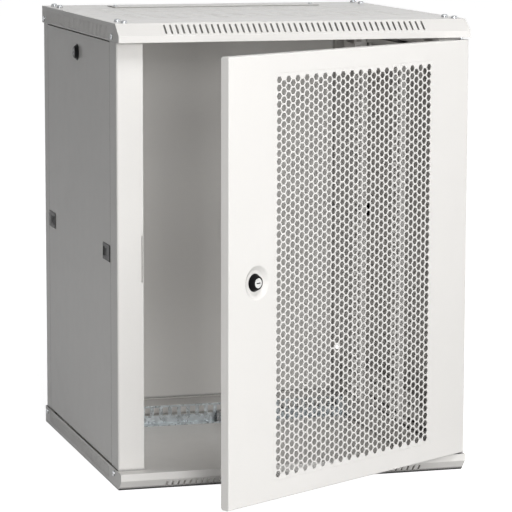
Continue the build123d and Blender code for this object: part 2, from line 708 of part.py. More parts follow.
def tie_strip():
    """Galvanised angle on the floor that cable ties go through."""
    path = [(STRIP_Y, FLOOR + STRIP_HEIGHT), (STRIP_Y, FLOOR), (STRIP_Y - STRIP_FOOT, FLOOR)]
    body = section_x(folded(path, PLATE_SHEET, -1), -STRIP_HALF, STRIP_HALF)
    first = -(STRIP_HOLES - 1) / 2 * STRIP_HOLE_PITCH
    half = STRIP_HOLE_WIDTH / 2
    z0 = FLOOR + STRIP_HOLE_Z
    cutters = []
    for i in range(STRIP_HOLES):
        x = first + i * STRIP_HOLE_PITCH
        y0, y1 = STRIP_Y - THROUGH, STRIP_Y + THROUGH
        cutters.append(block(x - half, x + half, y0, y1, z0, z0 + STRIP_HOLE_HEIGHT))
    cutters += plate_holes(strip_screw_spots(), SMALL_SCREW_R + HOLE_FIT, FLOOR)
    cutters += plate_holes([(EARTH_X, STRIP_Y - STRIP_FOOT / 2)], SCREW_R + HOLE_FIT, FLOOR)
    return body - cutters


def earth_point():
    """Stud on the floor, and its nuts and washers."""
    x, y = EARTH_X, STRIP_Y - STRIP_FOOT / 2
    foot = FLOOR + PLATE_SHEET
    stud = rod((x, y, FLOOR), (0, 0, 1), SCREW_R, EARTH_STUD)
    hardware = []
    for z in (foot, foot + WASHER_T + NUT_T + LUG_GAP):
        washer = rod((x, y, z), (0, 0, 1), WASHER_R, WASHER_T)
        nut = hex_prism((x, y, z + WASHER_T), (0, 0, 1), NUT_FLATS, NUT_T)
        bore = rod((x, y, z - THROUGH), (0, 0, 1), SCREW_R + THREAD_FIT, 4 * THROUGH)
        hardware += [washer - bore, nut - bore]
    return stud, hardware


# --- Panels --------------------------------------------------------------------------------
def latch_frame():
    """Place of the left front latch: X towards the post, Y into the cabinet, Z up."""
    return Plane(origin=(-POST_SIDE, PANEL_FRONT + LATCH_EDGE, LATCH_Z), x_dir=(0, -1, 0), z_dir=(0, 0, 1))


def rear_twin(shape):
    """The same piece at the panel's rear edge."""
    return mirror(shape, about=Plane(origin=(0, SIDE_LOCK_Y, 0), z_dir=(0, 1, 0)))


def latch_box(grow, y0, y1):
    """Latch tube's outline, grown by a clearance."""
    half_h = LATCH_BLOCK_HEIGHT / 2 + HOLE_FIT + LATCH_WALL + grow
    cavity_back = -LATCH_BACK - LATCH_TRAVEL - 3 * HOLE_FIT
    cavity_front = LATCH_FRONT + HOLE_FIT
    return block(cavity_back - LATCH_WALL - grow, cavity_front + LATCH_WALL + grow, y0, y1, -half_h, half_h)


def latch_pieces():
    """Housing and sliding bolt of the left front latch, in its own frame."""
    depth = HEM - LATCH_SHORT
    half_l, half_h = LATCH_LENGTH / 2, LATCH_HEIGHT / 2
    bezel = block(-half_l, half_l, -LATCH_BEZEL, 0, -half_h, half_h)
    bezel = fillet(bezel.faces().sort_by(Axis.Y)[0].edges(), LATCH_BEZEL / 2)
    cavity = latch_box(-LATCH_WALL, -2 * LATCH_BEZEL, depth + THROUGH)
    housing = fuse([bezel, latch_box(0, 0, depth)]) - cavity
    back, half_h = -LATCH_BACK, LATCH_BLOCK_HEIGHT / 2
    heel, shoulder = back - LATCH_WALL, half_h + LATCH_WALL
    tip = LATCH_EDGE + PANEL_GAP - LAND_REACH + LATCH_TIP_OVERLAP
    neck_y, tongue_y = depth + HOLE_FIT, HEM + POST_SHEET + HOLE_FIT
    bolt = fuse([
        block(back, LATCH_FRONT, -LATCH_BLOCK_PROUD, neck_y, -half_h, half_h),
        block(heel, LATCH_FRONT, neck_y, tongue_y, -shoulder, shoulder),
        block(heel, tip, tongue_y, tongue_y + TONGUE_SHEET, -TONGUE_HALF, TONGUE_HALF),
    ])
    first = (LATCH_FRONT - LATCH_BACK - (GRIPS - 1) * GRIP_PITCH - GRIP_WIDTH) / 2
    reach = half_h - GRIP_INSET
    lefts = [first + i * GRIP_PITCH for i in range(GRIPS)]
    grips = [block(x, x + GRIP_WIDTH, -LATCH_BEZEL, GRIP_DEPTH, -reach, reach) for x in lefts]
    return housing, bolt - grips


def side_panel():
    """Left side panel, a shallow pan with its lock hole and latch openings."""
    pan = block(-POST_SIDE, -LAND_X, PANEL_FRONT, PANEL_BACK, PANEL_BOTTOM, PANEL_TOP)
    hollow = block(
        -POST_SIDE + PANEL_SHEET,
        -LAND_X + PANEL_SHEET,
        PANEL_FRONT + PANEL_SHEET,
        PANEL_BACK - PANEL_SHEET,
        PANEL_BOTTOM + PANEL_SHEET,
        PANEL_TOP - PANEL_SHEET,
    )
    opening = latch_frame().location * latch_box(HOLE_FIT, -PANEL_SHEET, 2 * PANEL_SHEET)
    spot = (-POST_SIDE - THROUGH, SIDE_LOCK_Y, SIDE_LOCK_Z)
    lock = rod(spot, (1, 0, 0), SIDE_BARREL_R + HOLE_FIT, 2 * THROUGH)
    return pan - [hollow, opening, rear_twin(opening), lock]


def rear_panel():
    """Rear panel, a shallow pan between the rear posts."""
    x, sheet = REAR_INNER_X, PANEL_SHEET
    pan = block(-x, x, POST_BACK - REAR_HEM, POST_BACK, PANEL_BOTTOM, PANEL_TOP)
    y0, y1 = POST_BACK - REAR_HEM - sheet, POST_BACK - sheet
    hollow = block(-x + sheet, x - sheet, y0, y1, PANEL_BOTTOM + sheet, PANEL_TOP - sheet)
    holes = rear_screw_holes(SMALL_SCREW_R + HOLE_FIT)
    return pan - ([hollow] + holes + [mirrored(hole) for hole in holes])


# --- Cam locks -----------------------------------------------------------------------------
def cam_lock(front, body_r, body_length, plug_r, face_z, cam_z, key_length, sheet):
    """Lock in its own frame: Z outward, X the way the cam points. Returns its pieces in order."""
    z_up = (0, 0, 1)
    bore = rod((0, 0, -body_length - THROUGH), z_up, plug_r + RUN_FIT, body_length + face_z + 2 * THROUGH)
    barrel = fuse([front, rod((0, 0, -body_length), z_up, body_r, body_length)]) - bore
    nut_z = -sheet - LOCK_NUT_T
    nut = hex_prism((0, 0, nut_z), z_up, LOCK_NUT_FLATS, LOCK_NUT_T)
    nut -= rod((0, 0, nut_z - THROUGH), z_up, body_r + THREAD_FIT, LOCK_NUT_T + 2 * THROUGH)
    back_z = cam_z - CAM_SHEET
    plug = rod((0, 0, cam_z), z_up, plug_r, face_z + PLUG_PROUD - cam_z)
    plug = fillet(plug.edges().sort_by(Axis.Z)[-1], PLUG_PROUD)
    half_w, half_l = KEY_SLOT / 2, key_length / 2
    key = block(-half_w, half_w, -half_l, half_l, face_z - KEY_DEPTH, face_z + THROUGH)
    square = block(-SQUARE, SQUARE, -SQUARE, SQUARE, back_z, cam_z)
    bore_length = THROUGH + CAM_SCREW_LENGTH + BORE_SPARE
    screw_bore = rod((0, 0, back_z - THROUGH), z_up, CAM_SCREW_R + THREAD_FIT, bore_length)
    plug = fuse([plug, square]) - [key, screw_bore]
    hub = rod((0, 0, back_z), z_up, CAM_HUB_R, CAM_SHEET)
    arm = block(0, CAM_LENGTH, -CAM_WIDTH / 2, CAM_WIDTH / 2, back_z, cam_z)
    arm = fillet(arm.faces().sort_by(Axis.X)[-1].edges().filter_by(Axis.Z), CAM_WIDTH / 3)
    fit = SQUARE + THREAD_FIT
    cam = fuse([hub, arm]) - block(-fit, fit, -fit, fit, back_z - THROUGH, cam_z + THROUGH)
    head = (CAM_SCREW_R, CAM_SCREW_HEAD_R, CAM_SCREW_HEAD_T)
    screw = pan_screw((0, 0, back_z), (0, 0, -1), *head, CAM_SCREW_LENGTH)
    return barrel, nut, plug, cam, screw


def door_lock():
    """Lock in the door's pressed dish."""
    knob = cone((0, 0, 0), (0, 0, 1), KNOB_BASE_R, KNOB_FACE_R, KNOB_HEIGHT)
    knob = fillet(knob.edges().sort_by(Axis.Z)[-1], KNOB_ROUNDING)
    cam_z = DISH_FLOOR_Y - CAM_Y
    body = -cam_z - 2 * CAM_CLEAR
    pieces = cam_lock(knob, BARREL_R, body, PLUG_R, KNOB_HEIGHT, cam_z, DOOR_KEY, DOOR_SHEET)
    place = Plane(origin=(LOCK_X, DISH_FLOOR_Y, LOCK_Z), x_dir=(0, 0, 1), z_dir=(0, -1, 0)).location
    return [on_door(place * piece) for piece in pieces]


def side_lock():
    """Lock near the left panel's top edge, its cam up behind the cap's skirt."""
    flange = rod((0, 0, 0), (0, 0, 1), SIDE_FLANGE_R, SIDE_FLANGE_T)
    flange = fillet(flange.edges().sort_by(Axis.Z)[-1], SIDE_FLANGE_T / 2)
    knob = cone((0, 0, SIDE_FLANGE_T), (0, 0, 1), SIDE_KNOB_BASE_R, SIDE_KNOB_FACE_R, SIDE_KNOB_T)
    knob = fillet(knob.edges().sort_by(Axis.Z)[-1], SIDE_KNOB_ROUNDING)
    cam_z = -HEM - CAM_CLEAR
    face = SIDE_FLANGE_T + SIDE_KNOB_T
    front = fuse([flange, knob])
    pieces = cam_lock(front, SIDE_BARREL_R, HEM, SIDE_PLUG_R, face, cam_z, SIDE_KEY, PANEL_SHEET)
    middle = (-POST_SIDE, SIDE_LOCK_Y, SIDE_LOCK_Z)
    place = Plane(origin=middle, x_dir=(0, 0, 1), z_dir=(-1, 0, 0)).location
    return [place * piece for piece in pieces]


# --- Door ----------------------------------------------------------------------------------
def grille_size():
    """Half width and half height of the perforated sheet."""
    half_w = (HEX_COLUMNS - 1) / 2 * HEX_COLUMN_PITCH + HEX_FLATS
    half_h = (HEX_TALL_ROWS - 1) / 2 * HEX_ROW_PITCH + HEX_FLATS
    return half_w, half_h


def grille_middle():
    """Middle of the perforated field."""
    return HEX_SHIFT, (DOOR_BOTTOM + DOOR_TOP) / 2


def dish():
    """Pressed recess around the lock."""
    sheet = DOOR_SHEET
    rim_r = DISH_R + DISH_RIM
    hole_r = BARREL_R + HOLE_FIT
    outline = [
        (rim_r, FRONT),
        (DISH_R, FRONT),
        (DISH_FLOOR_R, DISH_FLOOR_Y),
        (hole_r, DISH_FLOOR_Y),
        (hole_r, DISH_FLOOR_Y + sheet),
        (DISH_FLOOR_R - sheet / 2, DISH_FLOOR_Y + sheet),
        (DISH_R - sheet / 2, FRONT + sheet),
        (rim_r, FRONT + sheet),
    ]
    face = Face(Wire.make_polygon([(LOCK_X + r, y, LOCK_Z) for r, y in outline], close=True))
    bends = [v for v in face.vertices() if hole_r + sheet < v.X - LOCK_X < rim_r - sheet]
    face = fillet(bends, DISH_BEND)
    return revolve(face, Axis((LOCK_X, 0, LOCK_Z), (0, 1, 0)), 360)


def door_panel():
    """Door sheet folded back all round, with the dish and the window for the perforated sheet."""
    sheet, back = DOOR_SHEET, FRONT + DOOR_DEPTH
    pan = block(DOOR_LEFT, DOOR_RIGHT, FRONT, back, DOOR_BOTTOM, DOOR_TOP)
    pan = fillet(pan.faces().sort_by(Axis.Y)[0].edges(), DOOR_EDGE_R)
    half_w, half_h = grille_size()
    cx, cz = grille_middle()
    z0, z1 = DOOR_BOTTOM + sheet, DOOR_TOP - sheet
    cutters = [
        block(DOOR_LEFT + sheet, DOOR_RIGHT - sheet, FRONT + sheet, back + sheet, z0, z1),
        block(cx - half_w, cx + half_w, FRONT - sheet, FRONT + 2 * sheet, cz - half_h, cz + half_h),
        rod((LOCK_X, FRONT - sheet, LOCK_Z), (0, 1, 0), DISH_R + DISH_RIM, 3 * sheet),
        rod((HINGE_X, HINGE_Y, DOOR_BOTTOM - sheet), (0, 0, 1), BUSH_R + RUN_FIT, 3 * sheet),
        rod((HINGE_X, HINGE_Y, DOOR_TOP - 2 * sheet), (0, 0, 1), PIN_R + RUN_FIT, 3 * sheet),
    ]
    for z, dz in ((DOOR_BOTTOM, 1), (DOOR_TOP, -1)):
        corner = [(back, z), (back - FLANGE_CHAMFER, z), (back, z + dz * FLANGE_CHAMFER)]
        cutters.append(section_x(corner, DOOR_LEFT - sheet, DOOR_LEFT + FLANGE_CHAMFER))
        cutters.append(section_x(corner, DOOR_RIGHT - FLANGE_CHAMFER, DOOR_RIGHT + sheet))
    return fuse([pan - cutters, dish()])


def grille_band(left, right, rows):
    """Strip of the perforated sheet with one column of holes at its zero."""
    half_h = grille_size()[1]
    hole = Wire.make_circle(HEX_FLATS * sqrt(sqrt(3) / (2 * pi)))
    holes = [hole.moved(Location((0, (j - (rows - 1) / 2) * HEX_ROW_PITCH, 0))) for j in range(rows)]
    corners = [(-left, -half_h, 0), (right, -half_h, 0), (right, half_h, 0), (-left, half_h, 0)]
    face = Face(Wire.make_polygon(corners, close=True), holes)
    return Solid.extrude(face, Vector(0, 0, DOOR_SHEET))


def door_grille():
    """Perforated sheet welded flush in the door's window. Round holes of the hexagons' area."""
    half_pitch = HEX_COLUMN_PITCH / 2
    inner = [grille_band(half_pitch, half_pitch, HEX_TALL_ROWS - odd) for odd in (0, 1)]
    last = HEX_COLUMNS - 1
    ends = {
        0: grille_band(HEX_FLATS, half_pitch, HEX_TALL_ROWS),
        last: grille_band(half_pitch, HEX_FLATS, HEX_TALL_ROWS - last % 2),
    }
    skin = []
    for i in range(HEX_COLUMNS):
        x = (i - last / 2) * HEX_COLUMN_PITCH
        band = ends.get(i, inner[i % 2]).moved(Location((x, 0, 0))).faces()
        sides = ShapeList(f for f in band if len(f.edges()) == 4).sort_by(Axis.X)
        joined = sides[:1] * (i > 0) + sides[-1:] * (i < last)
        skin += [f for f in band if not any(f.is_same(g) for g in joined)]
    cx, cz = grille_middle()
    place = Plane(origin=(cx, FRONT, cz), x_dir=(1, 0, 0), z_dir=(0, 1, 0)).location
    return Solid(Shell(skin)).moved(place)


def hinge_pieces():
    """Fixed lower pin, its bush, the sprung upper pin, its bracket and spring."""
    x, y, z_up = HINGE_X, HINGE_Y, (0, 0, 1)
    foot = BASE_HEIGHT - PIN_ANCHOR
    lower = fuse([
        rod((x, y, foot), z_up, PIN_R, DOOR_BOTTOM + BUSH_LENGTH - foot),
        rod((x, y, BASE_HEIGHT), z_up, LOWER_COLLAR_R, DOOR_GAP_LOW - COLLAR_FIT),
    ])
    bush = rod((x, y, DOOR_BOTTOM), z_up, BUSH_R, BUSH_LENGTH)
    bush -= rod((x, y, DOOR_BOTTOM - THROUGH), z_up, PIN_R + RUN_FIT, BUSH_LENGTH + 2 * THROUGH)
    ear = DOOR_TOP - EAR_DROP
    inner_x, skin = DOOR_RIGHT - DOOR_SHEET, FRONT + DOOR_SHEET
    bracket = fuse([
        block(x - BRACKET_REACH, inner_x, skin, skin + PLATE_SHEET, ear, ear + BRACKET_HEIGHT),
        block(x - EAR_REACH, inner_x, skin, y + PIN_R + EAR_RIM, ear, ear + PLATE_SHEET),
    ]) - rod((x, y, ear - PLATE_SHEET), z_up, PIN_R + RUN_FIT, 3 * PLATE_SHEET)
    handle_z = ear - HOLE_FIT - HANDLE_R
    collar = ear + PLATE_SHEET + SPRING_LENGTH
    upper = fuse([
        rod((x, y, handle_z - HANDLE_R), z_up, PIN_R, CAP_BOTTOM + PIN_REACH - handle_z + HANDLE_R),
        rod((x, y, collar), z_up, UPPER_COLLAR_R, UPPER_COLLAR_T),
        rod((x, y, handle_z), (-1, 0, 0), HANDLE_R, HANDLE_LENGTH),
    ])
    coil = Helix(SPRING_PITCH, SPRING_LENGTH - 2 * SPRING_END, SPRING_R)
    path = Pos(x, y, ear + PLATE_SHEET + SPRING_END) * coil
    start = Plane(origin=path @ 0, z_dir=path % 0)
    spring = sweep(start * Circle(SPRING_WIRE / 2), path=path, is_frenet=True)
    return lower, bush, upper, bracket, spring


# --- Screws --------------------------------------------------------------------------------
def base_screw_sinks():
    """Cone-shaped seats of the base's corner screws, in the base and the end plates."""
    radii = (SINK_R + 2 * HOLE_FIT, SCREW_R + HOLE_FIT)
    return [cone((x, y, -HOLE_FIT), (0, 0, 1), *radii, SINK_T) for x, y in CORNER_SCREW_SPOTS]


def base_corner_screws():
    """Countersunk screws, flush with the base's underside."""
    screws = []
    for x, y in CORNER_SCREW_SPOTS:
        head = cone((x, y, 0), (0, 0, 1), SINK_R, SCREW_R, SINK_T)
        shank = rod((x, y, SINK_T), (0, 0, 1), SCREW_R, FLOOR + POST_SHEET + SCREW_END - SINK_T)
        arms = [(SINK_CROSS, SINK_CROSS_WIDTH), (SINK_CROSS_WIDTH, SINK_CROSS)]
        recess = [Pos(x, y, 0) * Box(width, depth, 2 * SINK_CROSS_DEPTH) for width, depth in arms]
        screws.append(fuse([head, shank]) - recess)
    return screws


def cap_corner_screws():
    """Large pan-head screws on the roof's corners."""
    length = COVER_SHEET + POST_SHEET + SCREW_END
    return [
        pan_screw((x, y, HEIGHT), (0, 0, 1), SCREW_R, SCREW_HEAD_R, SCREW_HEAD_T, length)
        for x, y in CORNER_SCREW_SPOTS
    ]


def skirt_screws():
    """Screws through the cap's and base's skirts into the posts."""
    length = COVER_SHEET + FRAME_INSET + POST_SHEET + SCREW_END
    head = (SKIRT_SCREW_R, SKIRT_SCREW_HEAD_R, SKIRT_SCREW_HEAD_T)
    return [pan_screw((sx * SIDE, y, z), (sx, 0, 0), *head, length) for sx, y, z in skirt_screw_spots()]


def small_screw(seat, direction, length):
    """Small pan-head screw."""
    return pan_screw(seat, direction, SMALL_SCREW_R, SMALL_SCREW_HEAD_R, SMALL_SCREW_HEAD_T, length)


def cover_screws():
    """Screws of both cable entry covers."""
    top = HEIGHT + PLATE_SHEET
    low = FLOOR + PLATE_SHEET
    upper = [(x, y, top) for x, y in cover_screw_spots(ENTRY_WIDTH, TOP_ENTRY_Y)]
    lower = [(x, y, low) for x, y in cover_screw_spots(BASE_ENTRY_WIDTH, BASE_ENTRY_Y)]
    screws = [small_screw(spot, (0, 0, 1), COVER_SCREW_LENGTH) for spot in upper]
    return screws + [small_screw(spot, (0, 0, 1), low - SCREW_SHORT) for spot in lower]


def strip_screws():
    """Screws of the tie strip."""
    seat = FLOOR + PLATE_SHEET
    return [small_screw((x, y, seat), (0, 0, 1), seat - SCREW_SHORT) for x, y in strip_screw_spots()]


def member_screws():
    """Screws that hold the members' tabs to the posts."""
    seat = -LAND_INNER_X + FRAME_SHEET
    left = [small_screw(spot, (1, 0, 0), MEMBER_SCREW_LENGTH) for spot in member_screw_spots(seat)]
    return left + [mirrored(screw) for screw in left]


def rail_screws():
    """Screws that hold the rails to their carriers."""
    seat = -CARRIER_WEB_X + RAIL_SHEET
    head = (SCREW_R, SCREW_HEAD_R, RAIL_SCREW_HEAD_T)
    length = RAIL_SHEET + FRAME_SHEET + RAIL_SCREW_END
    left = [pan_screw((seat, y, z), (1, 0, 0), *head, length) for y, z in rail_screw_spots()]
    return left + [mirrored(screw) for screw in left]


def rear_screws():
    """Screws of the rear panel."""
    y = POST_BACK - REAR_HEM / 2
    spots = [(-REAR_INNER_X + PANEL_SHEET, y, z) for z in rear_screw_heights()]
    left = [small_screw(spot, (1, 0, 0), REAR_SCREW_LENGTH) for spot in spots]
    return left + [mirrored(screw) for screw in left]


# --- Write the nodes -----------------------------------------------------------------------
def store_pair(name, shape):
    """Write a left piece and its right twin."""
    store(name + "_left", shape)
    store(name + "_right", mirrored(shape))


def main():
    """Build every node."""
    os.makedirs("parts", exist_ok=True)
    store("top_cap", top_cap())
    store("top_entry_cover", entry_cover(ENTRY_WIDTH, ENTRY_DEPTH, TOP_ENTRY_Y, HEIGHT))
    store("base_tray", base_tray())
    store("base_entry_cover", entry_cover(BASE_ENTRY_WIDTH, BASE_ENTRY_DEPTH, BASE_ENTRY_Y, FLOOR))
    store_pair("front_post", front_post())
    store_pair("rear_post", rear_post())
    store_pair("side_sill", side_member(SILL_WEB_X, FLOOR, FLOOR + SILL_HEIGHT))
    store_pair("side_header", side_member(SILL_WEB_X, ROOF - SILL_HEIGHT, ROOF))
    store_pair("lower_rail_carrier", rail_carrier(CARRIER_BOTTOM))
    store_pair("upper_rail_carrier", rail_carrier(HEIGHT - CARRIER_BOTTOM - CARRIER_HEIGHT))
    store_pair("front_rail", rail(FRONT_RAIL_Y))
    store_pair("rear_rail", rail(REAR_RAIL_Y))
    store("tie_strip", tie_strip())
    stud, hardware = earth_point()
    store("earth_stud", stud)
    store("earth_nuts", hardware)

    store_pair("side_panel", side_panel())
    store("rear_panel", rear_panel())
    housing, bolt = latch_pieces()
    housing = latch_frame().location * housing
    bolt = latch_frame().location * bolt
    store_pair("front_latch_bolt", bolt)
    store_pair("rear_latch_bolt", rear_twin(bolt))
    left_housings = [housing, rear_twin(housing)]
    store("latch_housings", left_housings + [mirrored(piece) for piece in left_housings])
    barrel, nut, plug, cam, screw = side_lock()
    store("side_lock_barrels", [barrel, mirrored(barrel)])
    store("side_lock_nuts", [nut, mirrored(nut)])
    store_pair("side_lock_plug", plug)
    store_pair("side_lock_cam", cam)
    store_pair("side_lock_screw", screw)

    store("door_panel", on_door(door_panel()))
    store("door_grille", on_door(door_grille()))
    for name, piece in zip(("barrel", "nut", "plug", "cam", "screw"), door_lock()):
        store("door_lock_" + name, piece)
    lower, bush, upper, bracket, spring = hinge_pieces()
    store("hinge_pin_lower", lower)
    store("hinge_bush", on_door(bush))
    store("hinge_pin_upper", on_door(upper))
    store("hinge_bracket", on_door(bracket))
    store("hinge_spring", on_door(spring))

    store("cap_corner_screws", cap_corner_screws())
    store("base_corner_screws", base_corner_screws())
    store("skirt_screws", skirt_screws())
    store("cover_screws", cover_screws())
    store("strip_screws", strip_screws())
    store("member_screws", member_screws())
    store("rail_screws", rail_screws())
    store("rear_panel_screws", rear_screws())


main()
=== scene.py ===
import json
from math import cos, pi, radians, sin, sqrt

import bmesh
import bpy
from mathutils import Euler, Matrix, Vector
from mathutils.geometry import delaunay_2d_cdt


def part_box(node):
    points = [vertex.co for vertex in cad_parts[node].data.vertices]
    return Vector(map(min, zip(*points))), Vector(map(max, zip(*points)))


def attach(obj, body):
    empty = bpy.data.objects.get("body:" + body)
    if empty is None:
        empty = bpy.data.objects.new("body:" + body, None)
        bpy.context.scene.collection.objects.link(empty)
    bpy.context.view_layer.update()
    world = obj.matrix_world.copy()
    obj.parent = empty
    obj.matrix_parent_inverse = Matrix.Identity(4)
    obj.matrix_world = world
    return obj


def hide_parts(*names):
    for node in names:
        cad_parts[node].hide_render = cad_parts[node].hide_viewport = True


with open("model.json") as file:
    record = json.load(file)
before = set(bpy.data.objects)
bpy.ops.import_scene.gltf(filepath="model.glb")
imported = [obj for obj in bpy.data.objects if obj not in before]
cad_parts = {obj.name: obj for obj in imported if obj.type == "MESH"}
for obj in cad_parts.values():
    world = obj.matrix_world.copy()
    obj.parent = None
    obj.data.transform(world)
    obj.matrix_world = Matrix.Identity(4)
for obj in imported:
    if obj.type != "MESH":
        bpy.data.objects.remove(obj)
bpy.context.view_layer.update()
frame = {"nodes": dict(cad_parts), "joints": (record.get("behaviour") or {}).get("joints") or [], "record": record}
nodes = frame["nodes"]
scene = bpy.context.scene
joint = {j["name"]: j for j in frame["joints"]}

# Perforated field of the door: flat-topped hexagons in columns.
HEX_FLATS = 0.0102
COLUMN_PITCH = 0.0108
ROW_PITCH = 0.01265
COLUMNS = 35
TALL_ROWS = 50                      # every second column has one less
GRILLE_HALF = (0.1938, 0.320125)    # half width and half height
GRILLE_X = 0.0045                   # sheet's middle, door closed
GRILLE_FACE_Y = -0.300              # sheet's front face, door closed
GRILLE_SHEET = 0.0012
WELD = 1e-7                         # points nearer than this count as one

# Look of the surfaces, with lengths in metres.
NOISE_LOW, NOISE_HIGH = 0.3, 0.7    # most noise values lie between these
GAP_SHADE_REACH = 0.008                   # how near a neighbouring surface must be to put painted shade on a surface
GAP_SHADE_FULL, GAP_SHADE_END = 0.30, 0.80     # openness where the painted gap shade is darkest, and where it ends
# Colour of the painted shade in narrow gaps and crevices.
GAP_SHADE_COLOUR = (0.02, 0.02, 0.02)
EDGE_ROUNDING = 0.0007
PEEL_RELIEF = 0.0003
SPANGLE_PER_METRE = 160.0
SPANGLE_TILT = 0.0012
ZINC_RELIEF = 0.0003
SCRATCH_RELIEF = 0.0002
GRAIN_RELIEF = 0.0002
# Painted shade in the key slot and on the plug below its face.
KEY_SLOT_SHADE_COLOUR = (0.004, 0.004, 0.004)
KEY_SLOT_SHADE_EDGE = (0.0007, 0.0005)    # depths under the plug's face: full painted shade, no painted shade
DOOR_PLUG_REACH = 0.0084            # plug's face ahead of its joint
SIDE_PLUG_REACH = 0.0064

# Floor and camera.
FLOOR_HALF = 30.0
FLOOR_DROP = 0.0005
FLOOR_GLOW = (0.93, 1.0)            # near the part, and far from it
GLOW_REACH = (0.8, 2.5)             # distances of those two
LENS_MM = 191.257
SENSOR_MM = 36.0
VIEW_REACH = 200.0
CAMERA_PLACE = (-1.302899, -4.545472, 1.023432)
CAMERA_TURN = (81.7611, -0.1189, -16.1706)    # degrees about X, Y and Z


# --- Node helpers ---------------------------------------------------------------------------
def new_material(name):
    """An empty material with its output node."""
    material = bpy.data.materials.new(name)
    material.use_nodes = True
    tree = material.node_tree
    tree.nodes.clear()
    tree.nodes.new("ShaderNodeOutputMaterial")
    return material


def put(tree, kind, values=None, **settings):
    """Adds a node. values sets its input sockets, and a socket value links that socket."""
    made = tree.nodes.new("ShaderNode" + kind)
    for key, value in settings.items():
        setattr(made, key, value)
    for key, value in (values or {}).items():
        if isinstance(value, bpy.types.NodeSocket):
            tree.links.new(value, made.inputs[key])
        else:
            made.inputs[key].default_value = value
    return made


def finish_tree(tree, shader):
    """Links the shader to the output."""
    output = next(n for n in tree.nodes if n.type == "OUTPUT_MATERIAL")
    tree.links.new(shader, output.inputs["Surface"])


def place(tree):
    """The row frame's coordinates of a surface, in metres."""
    return put(tree, "TexCoord").outputs["Object"]


def noise(tree, scale, detail, at=None):
    """Noise value between 0 and 1."""
    values = {"Vector": at or place(tree), "Scale": scale, "Detail": detail}
    return put(tree, "TexNoise", values).outputs["Fac"]


def spread(tree, value, low, high, start=NOISE_LOW, end=NOISE_HIGH):
    """Maps a value from the range start to end to the range low to high."""
    values = {"Value": value, "From Min": start, "From Max": end, "To Min": low, "To Max": high}
    return put(tree, "MapRange", values).outputs["Result"]


def blend_colours(tree, amount, first, second):
    """Mixes two colours by a value."""
    mix = put(tree, "Mix", {"Factor": amount}, data_type="RGBA")
    for key, value in (("A", first), ("B", second)):
        socket = next(s for s in mix.inputs if s.name == key and s.type == "RGBA")
        if isinstance(value, bpy.types.NodeSocket):
            tree.links.new(value, socket)
        else:
            socket.default_value = (*value, 1)
    return next(s for s in mix.outputs if s.type == "RGBA")


def linear(red, green, blue):
    """A colour given in sRGB bytes, as linear numbers."""
    def one(byte):
        part = byte / 255
        return part / 12.92 if part <= 0.04045 else ((part + 0.055) / 1.055) ** 2.4
    return (one(red), one(green), one(blue))


def shade(colour, share):
    """A colour made darker or lighter by a share."""
    return tuple(min(1, part * share) for part in colour)


# --- Materials ------------------------------------------------------------------------------
def powder_coat(name, colour, rough, gloss):
    """Light powder coat: faint orange peel, drift of tone, rounded edges, painted shade in narrow gaps."""
    material = new_material(name)
    tree = material.node_tree
    drift = spread(tree, noise(tree, scale=2.4, detail=3.0), 0.0, 1.0)
    tone = blend_colours(tree, drift, colour, shade(colour, 0.965))
    speckle = spread(tree, noise(tree, scale=420.0, detail=1.0), 0.0, 0.10)
    tone = blend_colours(tree, speckle, tone, shade(colour, 0.90))
    # Painted shade: surfaces close to another surface darken towards the gap colour, by ambient occlusion.
    open_share = put(tree, "AmbientOcclusion", {"Distance": GAP_SHADE_REACH}, samples=8).outputs["AO"]
    gap_shade_free = spread(tree, open_share, 0.0, 1.0, GAP_SHADE_FULL, GAP_SHADE_END)
    tone = blend_colours(tree, gap_shade_free, GAP_SHADE_COLOUR, tone)
    edge = put(tree, "Bevel", {"Radius": EDGE_ROUNDING}, samples=4).outputs["Normal"]
    peel = put(tree, "Bump", {
        "Height": noise(tree, scale=520.0, detail=2.0),
        "Strength": 0.05,
        "Distance": PEEL_RELIEF,
        "Normal": edge,
    })
    shader = put(tree, "BsdfPrincipled", {
        "Base Color": tone,
        "Roughness": spread(tree, noise(tree, scale=30.0, detail=3.0), rough - 0.04, rough + 0.05),
        "Specular IOR Level": gloss,
        "Normal": peel.outputs["Normal"],
    })
    finish_tree(tree, shader.outputs["BSDF"])
    return material


def galvanised(name, colour):
    """Zinc-dipped sheet with spangle."""
    material = new_material(name)
    tree = material.node_tree
    cells = put(tree, "TexVoronoi", {"Vector": place(tree), "Scale": SPANGLE_PER_METRE})
    flake = put(tree, "SeparateColor", {"Color": cells.outputs["Color"]}).outputs["Red"]
    tone = blend_colours(tree, flake, shade(colour, 0.80), shade(colour, 1.15))
    smear = spread(tree, noise(tree, scale=45.0, detail=4.0), 0.0, 0.35)
    tone = blend_colours(tree, smear, tone, shade(colour, 0.75))
    grain = put(tree, "Bump", {
        "Height": noise(tree, scale=700.0, detail=2.0),
        "Strength": 0.12,
        "Distance": ZINC_RELIEF,
    })
    bump = put(tree, "Bump", {
        "Height": cells.outputs["Distance"],
        "Strength": 0.45,
        "Distance": SPANGLE_TILT,
        "Normal": grain.outputs["Normal"],
    })
    shader = put(tree, "BsdfPrincipled", {
        "Base Color": tone,
        "Metallic": 0.60,
        "Roughness": spread(tree, flake, 0.20, 0.45, 0.0, 1.0),
        "Normal": bump.outputs["Normal"],
    })
    finish_tree(tree, shader.outputs["BSDF"])
    return material


